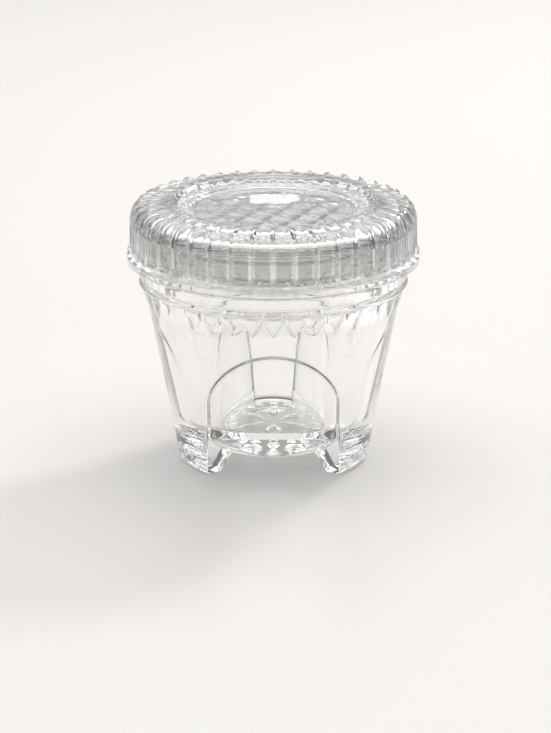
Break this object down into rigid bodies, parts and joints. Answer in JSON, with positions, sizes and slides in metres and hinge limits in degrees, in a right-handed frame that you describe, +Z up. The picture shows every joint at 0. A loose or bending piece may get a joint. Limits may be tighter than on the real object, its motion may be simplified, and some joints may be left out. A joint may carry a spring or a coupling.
{
  "type": "salt cellar",
  "caption": "Lidded table salt cellar of clear pressed glass: a tapering footed bowl with arched niches under a fluted cap with a quilted top.",
  "frame": {"origin": "centre of the body at the table, under the axis of the bowl", "axes": "+Z is up along the axis of the bowl; -Y is the front panel, between two feet; +X is to the right seen from the front"},
  "size_m": [0.084, 0.084, 0.0757],
  "materials": {
    "clear_glass": "clear, fire-polished pressed glass"
  },
  "bodies": {
    "cellar": {"body": "clear_glass"},
    "cap": {"lid": "clear_glass"}
  },
  "joints": [
    {"name": "lid_lift", "type": "slide", "parent": "cellar", "child": "cap", "axis": [0, 0, 1], "range_m": [0, 0.03]}
  ]
}
